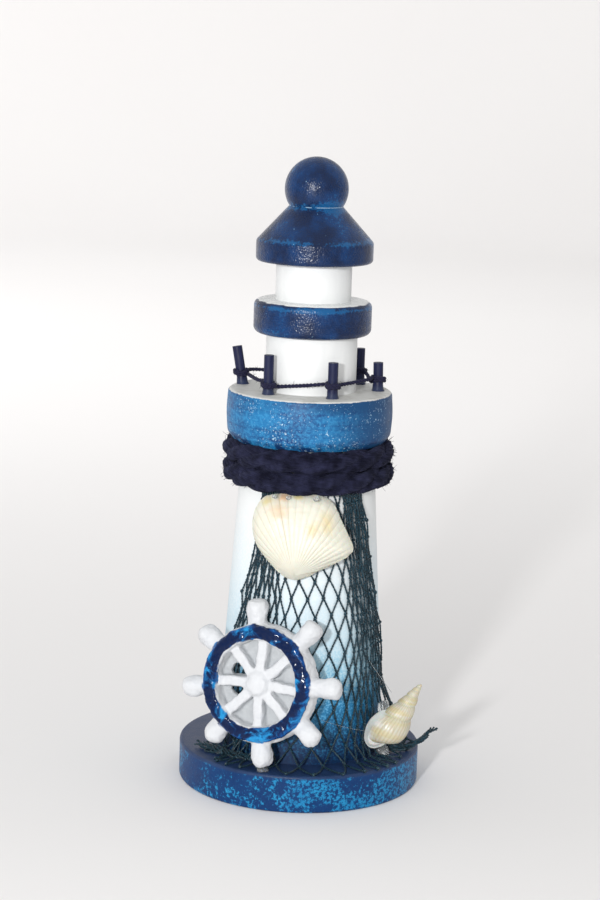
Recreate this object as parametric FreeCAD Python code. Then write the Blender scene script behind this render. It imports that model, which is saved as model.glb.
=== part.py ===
import FreeCAD, Part
import math
import os

# A seaside souvenir: a turned wooden lighthouse on a round base, glued up from
# discs and drums on hidden dowels, with a rope railing, a rope collar, a piece
# of fishing net, two sea shells and a small cast ship's wheel glued on.
# Millimetres. The origin is the centre of the base's underside, +Z is up and
# the decorated front looks along -Y. Azimuth 0 is the front, + towards +X.

# ---- turned wood ---------------------------------------------------------
base_radius = 30.0
base_height = 9.2
base_edge_round = 0.6

tower_foot_radius = 20.9
tower_top_radius = 16.1
tower_height = 76.8

gallery_radius = 20.4
gallery_height = 12.2
gallery_top_inset = 0.4
gallery_bottom_inset = 1.8
gallery_edge_round = 0.9
gallery_bottom_round = 2.0
gallery_crown_round = 30.0
gallery_crown_share = 0.55

lower_drum_radius = 11.1
lower_drum_height = 13.8
lantern_ring_radius = 14.35
lantern_ring_height = 8.2
lantern_ring_round = 1.6
upper_drum_radius = 9.2
upper_drum_height = 9.2

roof_brim_radius = 14.2
roof_brim_height = 5.0
roof_brim_round = 1.0
roof_shoulder_round = 1.2
roof_cone_height = 8.4
roof_top_radius = 6.5
finial_radius = 7.7
finial_seat_inset = 3.6

# ---- hidden dowels -------------------------------------------------------
dowel_radius = 3.0
dowel_clearance = 0.05
base_dowel_in_base = 6.0
base_dowel_in_tower = 14.0
stack_dowel_in_tower = 12.0
stack_dowel_in_roof = 8.0
finial_dowel_radius = 1.5
finial_dowel_in_roof = 4.0
finial_dowel_in_ball = 4.5
dowel_end_gap = 0.5

# ---- railing: posts drilled into the gallery, a cord hitched round them --
# name, azimuth, distance from the axis, height above the gallery, outward lean
posts = [
    ("railing_post_left", -107.4, 17.5, 9.4, 10.5),
    ("railing_post_front_left", -45.2, 14.2, 9.5, 0.0),
    ("railing_post_front_right", 21.8, 14.3, 8.6, 0.0),
    ("railing_post_right", 92.7, 16.6, 7.0, -1.5),
    ("railing_post_back_right", 130.7, 16.0, 9.0, 0.0),
    ("railing_post_back_left", -167.0, 16.0, 9.0, 0.0),
]
post_radius = 1.2
post_depth = 4.5
post_clearance = 0.05
post_foot_radius = 1.65
post_foot_height = 1.35
post_foot_lip = 0.2
cord_radius = 0.48
cord_height = 3.0
cord_gap = 0.12
glue_gap = 0.02
blob_flatness = 0.92
pole_flat = 0.12

# ---- fishing net over the front ------------------------------------------
net_thickness = 0.5
net_gap = 0.05
net_top_tuck = 8.0
net_top_left = -40.0
net_top_right = 53.0
net_foot_left = -78.0
net_foot_right = 92.0
net_side_slack = 1.0
net_left_bow = 3.0
skirt_reach = 3.2
skirt_shift = 1.3
skirt_thickness = 0.5
skirt_front = 3.0
tail_radius = 0.85
# the rolled ends: across and forward as shares of the tower's foot, and rise
left_tail = [(-0.74, 0.85, 0.0), (-0.98, 0.66, 0.0), (-1.2, 0.46, 0.0)]
right_tail = [(0.98, 0.42, 0.0), (1.23, 0.36, 0.0), (1.4, 0.28, 0.9), (1.6, 0.25, 4.0)]

# ---- rope collar ---------------------------------------------------------
rope_half_height = 2.8
rope_half_depth = 2.4
rope_turns = 2
rope_turn_overlap = 0.5
rope_top_gap = 0.1
rope_bite = 0.15

# ---- cockle shell --------------------------------------------------------
scallop_azimuth = -2.2
scallop_below_rope = 9.8
scallop_depth = 7.2
scallop_wall = 1.1
scallop_rest_gap = 0.1
scallop_beak_drop = 2.4
scallop_step_angles = (18, 36, 54, 70, 82)
scallop_hollow_angle = -8
# margin of the valve seen from outside: across, up
scallop_margin = [(-12.1, 3.6), (-11.6, -1.2), (-7.1, -7.1), (-2.2, -10.3), (2.0, -9.2),
                  (7.0, -6.6), (12.1, -2.7), (9.0, 4.2), (5.2, 9.0), (-2.0, 9.7), (-9.0, 8.6)]
# beads of glue under the rope: azimuth, radius
scallop_beads = [(-21.0, 0.85), (-12.0, 0.8), (6.2, 0.85)]
scallop_glue_radius = 4.6
scallop_glue_share = 0.75

# ---- cast ship's wheel ---------------------------------------------------
wheel_azimuth = -22.95
wheel_yaw = -24.0
wheel_lean = 9.6
wheel_height = 20.78
wheel_standoff = 5.05
wheel_back = -2.2
wheel_tip_radius = 20.3
wheel_rim_outer = 13.8
wheel_rim_inner = 10.0
wheel_rim_front = 3.8
wheel_rim_round = 1.1
wheel_back_ring_outer = 14.3
wheel_back_ring_front = 0.9
wheel_web_thickness = 1.5
wheel_joint = 0.5
wheel_spoke_width = 2.0
wheel_spoke_front = 1.9
wheel_hub_radius = 2.8
wheel_hub_front = 3.0
handle_neck_radius = 2.15
handle_bulb_radius = 2.6
handle_neck_length = 0.6
handle_end_share = 0.62
# cast by hand: neither the handles nor the spokes are evenly spaced
handle_angles = (98.8, 49.8, 4.1, -36.4, -82.2, -128.3, -169.6, 147.4)
wheel_spoke_angles = (88, 44, -2.5, -42.5, -84, -141, -177, 131)
# windows cast through the web: angle, distance from the hub's middle, radius
wheel_windows = [(165.5, 6.8, 1.5), (205.5, 7.0, 1.5)]
wheel_glue_radius = 4.5
wheel_glue_reach = 6.5
wheel_foot_handle = -82.2
wheel_foot_glue_radius = 2.2

# ---- spiral shell --------------------------------------------------------
spiral_azimuth = 57.2
spiral_rise = 6.75
spiral_length = 19.6
spiral_radius = 4.85
spiral_lean = 31.1
spiral_gap = 0.1
spiral_growth = 0.73
spiral_whorls = 5
spiral_suture_depth = 0.17
spiral_body_share = 0.93
spiral_belly_share = 0.99
spiral_belly_height = 0.42
spiral_foot_glue_radius = 2.6
spiral_foot_glue_inset = 2.0
spiral_foot_glue_rise = 2.1
spiral_side_glue_radius = 2.3
spiral_side_glue_share = 0.75

# ---- heights worked out from the sizes above -----------------------------
tower_z = base_height
gallery_z = tower_z + tower_height
gallery_top = gallery_z + gallery_height
lantern_ring_z = gallery_top + lower_drum_height
upper_drum_z = lantern_ring_z + lantern_ring_height
roof_z = upper_drum_z + upper_drum_height
roof_top = roof_z + roof_brim_height + roof_cone_height
finial_z = roof_top + finial_radius - finial_seat_inset
stack_dowel_z = gallery_z - stack_dowel_in_tower
stack_dowel_top = roof_z + stack_dowel_in_roof
bore_radius = dowel_radius + dowel_clearance
cord_loop_radius = post_radius + cord_radius + cord_gap
net_outside = net_gap + net_thickness
rope_pitch = 2 * rope_half_height - rope_turn_overlap
rope_bottom = gallery_z - rope_top_gap - 2 * rope_half_height - (rope_turns - 1) * rope_pitch

FULL = 360.0
far = 200.0
up = FreeCAD.Vector(0, 0, 1)


def vec(x, y, z=0.0):
    return FreeCAD.Vector(x, y, z)


def outward(azimuth):
    angle = math.radians(azimuth)
    return vec(math.sin(angle), -math.cos(angle))


def tower_radius(z):
    share = (z - tower_z) / tower_height
    return tower_foot_radius + share * (tower_top_radius - tower_foot_radius)


def beside_tower(azimuth, z, gap):
    """The point a given gap outside the tower's face at an azimuth and height."""
    return outward(azimuth) * (tower_radius(z) + gap) + up * z


def rod(radius, start, end):
    return Part.makeCylinder(radius, start.distanceToPoint(end), start, end - start)


def turned(corners):
    """A lathe profile of (radius, height, corner round) revolved about the axis."""
    edges = []
    last = None
    count = len(corners)
    for i, (r, z, rounding) in enumerate(corners):
        here = vec(r, 0, z)
        before = vec(corners[i - 1][0], 0, corners[i - 1][1])
        after = vec(corners[(i + 1) % count][0], 0, corners[(i + 1) % count][1])
        enter = here
        leave = here
        if rounding > 0:
            back = (before - here).normalize()
            ahead = (after - here).normalize()
            half = back.getAngle(ahead) / 2
            reach = rounding / math.tan(half)
            enter = here + back * reach
            leave = here + ahead * reach
            centre = here + (back + ahead).normalize() * (rounding / math.sin(half))
            middle = centre + (here - centre).normalize() * rounding
        if last is None:
            first = enter
        else:
            edges.append(Part.makeLine(last, enter))
        if rounding > 0:
            edges.append(Part.Arc(enter, middle, leave).toShape())
        last = leave
    edges.append(Part.makeLine(last, first))
    face = Part.Face(Part.Wire(edges))
    return face.revolve(vec(0, 0, 0), up, FULL)


def tower_cone(gap):
    """The tower's cone grown outwards by a gap, between its own two ends."""
    return Part.makeCone(tower_foot_radius + gap, tower_top_radius + gap, tower_height,
                         vec(0, 0, tower_z), up)


# ---- the turned body -----------------------------------------------------
def base_disc():
    disc = turned([(0, 0, 0), (base_radius, 0, base_edge_round),
                   (base_radius, base_height, base_edge_round), (0, base_height, 0)])
    floor = base_height - base_dowel_in_base - dowel_end_gap
    return disc.cut(rod(bore_radius, vec(0, 0, floor), vec(0, 0, base_height)))


def tower_body():
    foot_bore_end = tower_z + base_dowel_in_tower + dowel_end_gap
    top_bore_end = stack_dowel_z - dowel_end_gap
    body = tower_cone(0)
    body = body.cut(rod(bore_radius, vec(0, 0, tower_z), vec(0, 0, foot_bore_end)))
    return body.cut(rod(bore_radius, vec(0, 0, top_bore_end), vec(0, 0, gallery_z)))


def gallery_disc():
    crown = gallery_z + gallery_height * gallery_crown_share
    disc = turned([(bore_radius, gallery_z, 0),
                   (gallery_radius - gallery_bottom_inset, gallery_z, 0),
                   (gallery_radius - gallery_top_inset, gallery_z + gallery_bottom_inset,
                    gallery_bottom_round),
                   (gallery_radius, crown, gallery_crown_round),
                   (gallery_radius - gallery_top_inset, gallery_top, gallery_edge_round),
                   (bore_radius, gallery_top, 0)])
    for post in posts:
        foot, axis = post_axis(post)
        hole_end = foot - axis * (post_depth + dowel_end_gap)
        disc = disc.cut(rod(post_radius + post_clearance, hole_end, foot + axis))
    return disc


def drum(radius, z, height, rounding=0.0):
    """A plain drum of the lantern room, bored right through for the dowel."""
    return turned([(bore_radius, z, 0), (radius, z, rounding),
                   (radius, z + height, rounding), (bore_radius, z + height, 0)])


def roof_cap():
    shoulder = roof_z + roof_brim_height
    cap = turned([(0, roof_z, 0), (roof_brim_radius, roof_z, roof_brim_round),
                  (roof_brim_radius, shoulder, roof_shoulder_round),
                  (roof_top_radius, roof_top, 0), (0, roof_top, 0)])
    cap = cap.cut(rod(bore_radius, vec(0, 0, roof_z), vec(0, 0, stack_dowel_top + dowel_end_gap)))
    pilot_end = roof_top - finial_dowel_in_roof - dowel_end_gap / 2
    return cap.cut(rod(finial_dowel_radius + dowel_clearance, vec(0, 0, pilot_end),
                       vec(0, 0, roof_top)))


def finial_ball():
    ball = Part.makeSphere(finial_radius, vec(0, 0, finial_z))
    below = Part.makeCylinder(finial_radius, far, vec(0, 0, roof_top - far), up)
    pilot_end = roof_top + finial_dowel_in_ball + dowel_end_gap
    pilot = rod(finial_dowel_radius + dowel_clearance, vec(0, 0, roof_top), vec(0, 0, pilot_end))
    return ball.cut(below).cut(pilot)


# ---- the railing ---------------------------------------------------------
def post_axis(post):
    """Where a post leaves the gallery's top, and the direction it stands in."""
    azimuth, distance, lean = post[1], post[2], math.radians(post[4])
    foot = outward(azimuth) * distance + up * gallery_top
    return foot, outward(azimuth) * math.sin(lean) + up * math.cos(lean)


def railing_post(post):
    foot, axis = post_axis(post)
    return rod(post_radius, foot - axis * post_depth, foot + axis * post[3])


def post_foot(post):
    """The flared bead of paint and glue that beds a post on the gallery."""
    foot, axis = post_axis(post)
    sink = post_foot_radius * math.sqrt(1 - axis.z ** 2)
    neck = post_radius + glue_gap + post_foot_lip
    bead = Part.makeCone(post_foot_radius, neck, post_foot_height + sink, foot - axis * sink, axis)
    bead = bead.cut(rod(post_radius + glue_gap, foot - axis * post_depth, foot + axis * post_depth))
    return bead.cut(Part.makeCylinder(far, far, vec(0, 0, gallery_top + glue_gap - far), up))


def cord_points():
    """The post centres at the height of the cord, in order round the gallery."""
    points = []
    for post in sorted(posts, key=lambda one: one[1]):
        foot, axis = post_axis(post)
        points.append(foot + axis * (cord_height / axis.z))
    return points


def railing_cord():
    """One closed loop of cord, pulled tight round the outside of every post."""
    points = cord_points()
    count = len(points)
    normals = []
    for i, point in enumerate(points):
        along = (points[(i + 1) % count] - point).normalize()
        normals.append(vec(along.y, -along.x) * cord_loop_radius)
    edges = []
    length = 0.0
    for i, point in enumerate(points):
        following = points[(i + 1) % count]
        run = Part.makeLine(point + normals[i], following + normals[i])
        outside = (normals[i] + normals[(i + 1) % count]).normalize() * cord_loop_radius
        bend = Part.Arc(following + normals[i], following + outside,
                        following + normals[(i + 1) % count]).toShape()
        edges += [run, bend]
        length += run.Length + bend.Length
    path = Part.Wire(edges)
    section = Part.Wire(Part.makeCircle(cord_radius, points[0] + normals[0],
                                        points[1] - points[0]))
    tube = path.makePipeShell([section], True, True)
    share = tube.Volume / (math.pi * cord_radius ** 2 * length)
    print("railing_cord: length %.1f, volume share %.3f, every bend radius %.2f"
          % (length, share, cord_loop_radius))
    return tube


def cord_hitch(post):
    """The turn of cord under the railing line that hitches it to a post."""
    foot, axis = post_axis(post)
    centre = foot + axis * ((cord_height - 2 * cord_radius - cord_gap) / axis.z)
    return Part.makeTorus(cord_loop_radius, cord_radius, centre, axis)


# ---- net, rope -----------------------------------------------------------
def net_sheet(inner, outer, reach):
    """The draped front sheet between two gaps off the tower, plus its skirt."""
    top = gallery_z - net_top_tuck
    sheet = tower_cone(outer).cut(tower_cone(inner))
    sheet = sheet.cut(Part.makeCylinder(far, far, vec(0, 0, top), up))
    left_foot = beside_tower(net_foot_left, base_height, outer)
    right_foot = beside_tower(net_foot_right, base_height, outer)
    left_top = beside_tower(net_top_left, top, outer)
    right_top = beside_tower(net_top_right, top, outer)
    halfway = (base_height + top) / 2
    outline = [vec(left_foot.x - net_side_slack, 0, base_height),
               vec(right_foot.x + net_side_slack, 0, base_height),
               vec(right_foot.x, 0, halfway), vec(right_top.x, 0, top),
               vec(left_top.x, 0, top), vec(left_foot.x + net_left_bow, 0, halfway)]
    window = Part.Face(Part.makePolygon(outline + [outline[0]])).extrude(vec(0, -far, 0))
    sheet = sheet.common(window)
    return sheet.fuse(net_skirt(inner, reach)).removeSplitter()


def net_skirt(inner, reach):
    """The foot of the net, spread in two overlapping folds on the base's top."""
    bottom = vec(0, 0, base_height + inner)
    fold = Part.makeCylinder(tower_foot_radius + reach, skirt_thickness, bottom, up)
    folds = fold.fuse(fold.translated(vec(skirt_shift, 0)))
    folds = folds.cut(Part.makeCylinder(tower_foot_radius + inner, far, vec(0, 0, 0), up))
    return folds.common(Part.makeBox(far, far, far, vec(-far / 2, -far - skirt_front, 0)))


def net_roll(points, radius):
    """A rolled edge of the net: straight lengths with a ball at each joint."""
    roll = Part.makeSphere(radius, points[0])
    for start, end in zip(points, points[1:]):
        roll = roll.fuse(rod(radius, start, end)).fuse(Part.makeSphere(radius, end))
    return roll


def fishing_net():
    rest = base_height + net_gap + tail_radius
    net = net_sheet(net_gap, net_outside, skirt_reach)
    for tail in (left_tail, right_tail):
        points = [vec(across * tower_foot_radius, -forward * tower_foot_radius, rest + rise)
                  for across, forward, rise in tail]
        net = net.fuse(net_roll(points, tail_radius))
    return net.cut(tower_cone(net_gap)).removeSplitter()


def rope_turn(turn):
    """The middle of one turn's section: its distance from the axis and height."""
    z = gallery_z - rope_top_gap - rope_half_height - turn * rope_pitch
    return tower_radius(z) + rope_half_depth - rope_bite, z


def rope_wrap():
    """Two turns of rope hauled tight under the gallery, as one outer shape."""
    collar = None
    for turn in range(rope_turns):
        radius, z = rope_turn(turn)
        centre = vec(radius, 0, z)
        if rope_half_height >= rope_half_depth:
            ends = (centre + up * rope_half_height, centre + vec(rope_half_depth, 0))
        else:
            ends = (centre + vec(rope_half_depth, 0), centre - up * rope_half_height)
        section = Part.Wire(Part.Ellipse(ends[0], ends[1], centre).toShape())
        ring = Part.Face(section).revolve(vec(0, 0, 0), up, FULL)
        collar = ring if collar is None else collar.fuse(ring)
    collar = collar.cut(tower_cone(net_gap))
    return collar.cut(net_sheet(0, net_outside + net_gap, skirt_reach)).removeSplitter()


# ---- pieces glued to the front -------------------------------------------
def placed_on(azimuth, lean, centre):
    """Where a piece drawn across x, up y and outwards z sits on the tower's front."""
    tilt = math.radians(lean)
    across = vec(math.cos(math.radians(azimuth)), math.sin(math.radians(azimuth)))
    out = outward(azimuth) * math.cos(tilt) + up * math.sin(tilt)
    rise = out.cross(across)
    return FreeCAD.Placement(FreeCAD.Matrix(
        across.x, rise.x, out.x, centre.x, across.y, rise.y, out.y, centre.y,
        across.z, rise.z, out.z, centre.z, 0, 0, 0, 1))


def set_on(shape, placement):
    placed = shape.copy()
    placed.Placement = placement
    return placed


def valve(scale, depth, edge_angle):
    """One skin of the cockle: its margin drawn in towards the beak, in steps."""
    sections = []
    for angle in (edge_angle,) + scallop_step_angles:
        shrink = math.cos(math.radians(max(angle, 0))) * scale
        height = depth * math.sin(math.radians(angle))
        drop = scallop_beak_drop * (1 - shrink)
        points = [vec(x * shrink, y * shrink - drop, height) for x, y in scallop_margin]
        curve = Part.BSplineCurve()
        curve.interpolate(points, PeriodicFlag=True)
        sections.append(Part.Wire(curve.toShape()))
    return Part.makeLoft(sections, True)


def scallop_place():
    """On the net, leaning with the tower's slope, its upper edge under the rope."""
    slope = math.degrees(math.atan((tower_foot_radius - tower_top_radius) / tower_height))
    centre = beside_tower(scallop_azimuth, rope_bottom - scallop_below_rope,
                          net_outside + scallop_rest_gap)
    return placed_on(scallop_azimuth, slope, centre)


def scallop_shell():
    half_width = max(x for x, y in scallop_margin)
    outside = valve(1.0, scallop_depth, 0)
    hollow = valve(1.0 - scallop_wall / half_width, scallop_depth - scallop_wall,
                   scallop_hollow_angle)
    return set_on(outside.cut(hollow), scallop_place())


def scallop_glue(shell, net):
    """Hot glue: a plug inside the valve and three beads along its upper edge."""
    behind = net_outside + scallop_rest_gap
    plug = Part.makeCylinder(scallop_glue_radius, scallop_depth * scallop_glue_share + behind,
                             vec(0, 0, -behind), up)
    plug = set_on(plug, scallop_place())
    glue = trimmed([plug], [shell, net, tower_cone(net_outside)]).Solids
    rope_radius, rope_z = rope_turn(rope_turns - 1)
    for azimuth, radius in scallop_beads:
        seat = outward(azimuth) * (rope_radius + rope_half_depth)
        glue.append(blob(radius, seat + up * rope_bottom))
    return Part.makeCompound(glue)


def blob(radius, centre):
    """A bead of hot glue, a little flatter than it is wide."""
    rise = up * (radius * blob_flatness)
    flat = vec(radius * pole_flat, 0)
    side = Part.Arc(centre - rise + flat, centre + vec(radius, 0), centre + rise + flat)
    edges = [side.toShape(), Part.makeLine(centre + rise + flat, centre + rise),
             Part.makeLine(centre + rise, centre - rise),
             Part.makeLine(centre - rise, centre - rise + flat)]
    return Part.Face(Part.Wire(edges)).revolve(centre, up, FULL)


def trimmed(shapes, neighbours):
    """Glue fills what its neighbours leave free: the largest solid of each blob."""
    kept = []
    for shape in shapes:
        for neighbour in neighbours:
            shape = shape.cut(neighbour)
        if shape.Solids:
            kept.append(max(shape.Solids, key=lambda solid: solid.Volume))
    return Part.makeCompound(kept)


def wheel_place():
    """The wheel's middle stands off the net, turned and leaned back to face the front."""
    centre = beside_tower(wheel_azimuth, base_height + wheel_height, wheel_standoff)
    return placed_on(wheel_yaw, wheel_lean, centre)


def wheel_handle(turn):
    """A turned handle outside the rim, flat on the back, at its own angle."""
    neck = wheel_rim_outer + handle_neck_length
    bulb = (neck + wheel_tip_radius) / 2 + handle_neck_length
    end = handle_bulb_radius * handle_end_share
    root = vec(wheel_rim_inner + wheel_joint, 0)
    shoulder = root + vec(0, handle_neck_radius)
    tip = vec(wheel_tip_radius, 0)
    tip_edge = tip + vec(0, end)
    outline = Part.BSplineCurve()
    outline.interpolate([shoulder, vec(neck, handle_neck_radius),
                         vec(bulb, handle_bulb_radius), tip_edge])
    edges = [Part.makeLine(root, shoulder), outline.toShape(),
             Part.makeLine(tip_edge, tip), Part.makeLine(tip, root)]
    handle = Part.Face(Part.Wire(edges)).revolve(vec(0, 0), vec(1, 0), FULL)
    handle.rotate(vec(0, 0), up, turn)
    return handle


def wheel_rim():
    """The rounded rim and the wider, thinner ring cast behind it."""
    back = vec(0, 0, wheel_back)
    rim = Part.makeCylinder(wheel_rim_outer, wheel_rim_front - wheel_back, back, up)
    rim = rim.cut(Part.makeCylinder(wheel_rim_inner, far, back, up))
    front_edges = [e for e in rim.Edges if abs(e.BoundBox.ZMin - wheel_rim_front) < glue_gap]
    rim = rim.makeFillet(wheel_rim_round, front_edges)
    ring = Part.makeCylinder(wheel_back_ring_outer, wheel_back_ring_front - wheel_back, back, up)
    return rim.fuse(ring.cut(Part.makeCylinder(wheel_rim_inner, far, back, up)))


def ship_wheel():
    back = vec(0, 0, wheel_back)
    inside = wheel_rim_inner + wheel_joint
    web = Part.makeCylinder(inside, wheel_web_thickness, back, up)
    for turn, distance, radius in wheel_windows:
        angle = math.radians(turn)
        middle = vec(math.cos(angle), math.sin(angle)) * distance - up * (far / 2)
        web = web.cut(Part.makeCylinder(radius, far, middle, up))
    wheel = wheel_rim().fuse(web)
    wheel = wheel.fuse(Part.makeCylinder(wheel_hub_radius, wheel_hub_front - wheel_back, back, up))
    for turn in wheel_spoke_angles:
        spoke = Part.makeBox(inside, wheel_spoke_width, wheel_spoke_front - wheel_back,
                             vec(0, -wheel_spoke_width / 2, wheel_back))
        spoke.rotate(vec(0, 0), up, turn)
        wheel = wheel.fuse(spoke)
    for turn in handle_angles:
        wheel = wheel.fuse(wheel_handle(turn))
    behind = Part.makeBox(far, far, far, vec(-far / 2, -far / 2, wheel_back - far))
    return set_on(wheel.cut(behind).removeSplitter(), wheel_place())


def wheel_glue(wheel, net):
    """A pad of hot glue behind the hub, and a blob where a handle meets the base."""
    gap = wheel_standoff + tower_radius(base_height)
    place = wheel_place()
    pad = set_on(Part.makeCylinder(wheel_glue_radius, gap, vec(0, 0, wheel_back - gap), up), place)
    behind_hub = Part.makeSphere(wheel_glue_reach, place.Base)
    angle = math.radians(wheel_foot_handle)
    foot = place.multVec(vec(math.cos(angle), math.sin(angle)) * wheel_tip_radius)
    foot_blob = blob(wheel_foot_glue_radius, vec(foot.x, foot.y, base_height))
    floor = Part.makeCylinder(far, far, vec(0, 0, base_height - far), up)
    return trimmed([pad.common(behind_hub), foot_blob],
                   [wheel, net, floor, tower_cone(net_outside)])


def spiral_axis():
    """The body whorl's centre and the direction of the shell's axis."""
    z = base_height + spiral_rise
    centre = beside_tower(spiral_azimuth, z, net_outside + spiral_gap + spiral_radius)
    lean = math.radians(spiral_lean)
    return centre, vec(math.sin(lean), 0, math.cos(lean))


def spiral_shell():
    """A small whelk: rounded whorls that shrink by one ratio towards the tip."""
    tip = spiral_radius * pole_flat / 2
    start = vec(spiral_radius * pole_flat, 0, 0)
    edges = [Part.makeLine(vec(0, 0, 0), start)]
    radius = spiral_radius
    height = 2 * spiral_radius * spiral_body_share
    total = sum(spiral_growth ** k for k in range(spiral_whorls + 1))
    rest = (spiral_length - height) / (total - 1)
    z = 0.0
    for k in range(spiral_whorls + 1):
        tall = height if k == 0 else rest * spiral_growth ** k
        last = k == spiral_whorls
        end_radius = tip if last else radius * spiral_growth * (1 + spiral_suture_depth)
        end = vec(end_radius, 0, spiral_length if last else z + tall)
        belly = tall / 2 if k == 0 else tall * spiral_belly_height
        middle = vec(radius * spiral_belly_share, 0, z + belly)
        edges.append(Part.Arc(start, middle, end).toShape())
        start = end
        z += tall
        radius *= spiral_growth
    edges.append(Part.makeLine(start, vec(0, 0, spiral_length)))
    edges.append(Part.makeLine(vec(0, 0, spiral_length), vec(0, 0, 0)))
    whelk = Part.Face(Part.Wire(edges)).revolve(vec(0, 0, 0), up, FULL)
    centre, axis = spiral_axis()
    whelk.rotate(vec(0, 0), vec(0, 1), spiral_lean)
    return whelk.translated(centre - axis * (height / 2))


def spiral_shell_glue(shell, net):
    """Hot glue under the whelk and between its shoulder and the tower."""
    centre = spiral_axis()[0]
    inward = vec(-centre.x, -centre.y).normalize()
    below = centre + inward * spiral_foot_glue_inset
    below.z = base_height + spiral_foot_glue_rise
    beside = centre + (inward + up) * (spiral_radius * spiral_side_glue_share)
    blobs = [blob(spiral_foot_glue_radius, below), blob(spiral_side_glue_radius, beside)]
    floor = Part.makeCylinder(far, far, vec(0, 0, base_height - far), up)
    return trimmed(blobs, [shell, net, floor, tower_cone(net_outside)])


def build():
    pieces = {
        "base_disc": base_disc(),
        "tower_body": tower_body(),
        "gallery_disc": gallery_disc(),
        "lower_lantern_drum": drum(lower_drum_radius, gallery_top, lower_drum_height),
        "lantern_ring": drum(lantern_ring_radius, lantern_ring_z, lantern_ring_height,
                             lantern_ring_round),
        "upper_lantern_drum": drum(upper_drum_radius, upper_drum_z, upper_drum_height),
        "roof_cap": roof_cap(),
        "finial_ball": finial_ball(),
        "base_dowel": rod(dowel_radius, vec(0, 0, tower_z - base_dowel_in_base),
                          vec(0, 0, tower_z + base_dowel_in_tower)),
        "stack_dowel": rod(dowel_radius, vec(0, 0, stack_dowel_z), vec(0, 0, stack_dowel_top)),
        "finial_dowel": rod(finial_dowel_radius, vec(0, 0, roof_top - finial_dowel_in_roof),
                            vec(0, 0, roof_top + finial_dowel_in_ball)),
        "post_feet": Part.makeCompound([post_foot(post) for post in posts]),
        "railing_cord": railing_cord(),
        "railing_hitches": Part.makeCompound([cord_hitch(post) for post in posts]),
        "fishing_net": fishing_net(),
        "rope_wrap": rope_wrap(),
        "scallop_shell": scallop_shell(),
        "ship_wheel": ship_wheel(),
        "spiral_shell": spiral_shell(),
    }
    for post in posts:
        pieces[post[0]] = railing_post(post)
    net = pieces["fishing_net"]
    pieces["scallop_glue"] = scallop_glue(pieces["scallop_shell"], net)
    pieces["wheel_glue"] = wheel_glue(pieces["ship_wheel"], net)
    pieces["spiral_shell_glue"] = spiral_shell_glue(pieces["spiral_shell"], net)
    return pieces


os.makedirs("parts", exist_ok=True)
for node, shape in build().items():
    print("%-26s solids %d  valid %s  volume %9.2f"
          % (node, len(shape.Solids), shape.isValid(), shape.Volume))
    shape.exportStep("parts/%s.step" % node)
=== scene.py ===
import random
from math import atan, atan2, copysign, cos, degrees, exp, pi, radians, sin, sqrt

import bmesh
import bpy
import numpy as np
from mathutils import Matrix, Vector, noise


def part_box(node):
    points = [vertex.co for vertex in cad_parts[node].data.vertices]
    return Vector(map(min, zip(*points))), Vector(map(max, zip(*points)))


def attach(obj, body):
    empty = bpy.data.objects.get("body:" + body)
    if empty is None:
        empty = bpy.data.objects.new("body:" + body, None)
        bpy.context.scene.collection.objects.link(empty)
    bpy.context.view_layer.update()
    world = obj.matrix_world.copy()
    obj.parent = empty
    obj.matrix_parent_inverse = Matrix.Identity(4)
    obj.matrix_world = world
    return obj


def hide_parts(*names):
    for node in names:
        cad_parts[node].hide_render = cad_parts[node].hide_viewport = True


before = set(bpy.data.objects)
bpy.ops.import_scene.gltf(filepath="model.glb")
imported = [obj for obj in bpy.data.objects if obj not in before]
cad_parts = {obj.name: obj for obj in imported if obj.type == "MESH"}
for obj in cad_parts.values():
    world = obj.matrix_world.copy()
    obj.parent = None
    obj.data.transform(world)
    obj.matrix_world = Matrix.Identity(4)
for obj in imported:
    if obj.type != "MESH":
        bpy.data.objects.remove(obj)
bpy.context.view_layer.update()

random.seed(7)
mm = 0.001


# ---- Camera ----
# A long lens half a metre in front of the lighthouse, a little above it and
# rolled a hair, so that the tower leans slightly to the right.
def in_scene(name, data):
    """A new object that carries the data, added to the scene."""
    made = bpy.data.objects.new(name, data)
    bpy.context.collection.objects.link(made)
    return made


camera_aim = Vector((0, 0, 80 * mm))
camera_distance = 533.3 * mm
camera_elevation = radians(10.98)
camera_roll = radians(1.87)

camera = in_scene("camera", bpy.data.cameras.new("camera"))
camera.data.sensor_width = 36
camera.data.lens = 86.7
camera.data.shift_x = -0.0088
camera.data.shift_y = 0.0134
back_off = Vector((0, -cos(camera_elevation), sin(camera_elevation)))
camera.matrix_world = (Matrix.Translation(camera_aim + back_off * camera_distance)
                       @ back_off.to_track_quat("Z", "Y").to_matrix().to_4x4()
                       @ Matrix.Rotation(camera_roll, 4, "Z"))
camera.data.clip_start = 0.01
camera.data.clip_end = 20
bpy.context.scene.camera = camera
bpy.context.scene.view_settings.view_transform = "Standard"


# ---- Rope collar ----
# Two turns of soft three-strand rope, dark navy acrylic yarn, hauled tight
# under the gallery and glued, with both ends butted at the back.
def route(name, points, closed=False):
    """A cord's smooth NURBS line, and the points read back along it."""
    line = bpy.data.curves.new(name, "CURVE")
    line.dimensions = "3D"
    spline = line.splines.new("NURBS")
    spline.points.add(len(points) - 1)
    for knot, point in zip(spline.points, points):
        knot.co = (*point, 1)
    spline.order_u = 3
    spline.use_cyclic_u = closed
    spline.use_endpoint_u = not closed
    spline.resolution_u = 8
    read = bpy.data.meshes.new_from_object(bpy.data.objects.new(name, line))
    found = [vertex.co.copy() for vertex in read.vertices]
    return np.array(found + found[:1] if closed else found)


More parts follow.
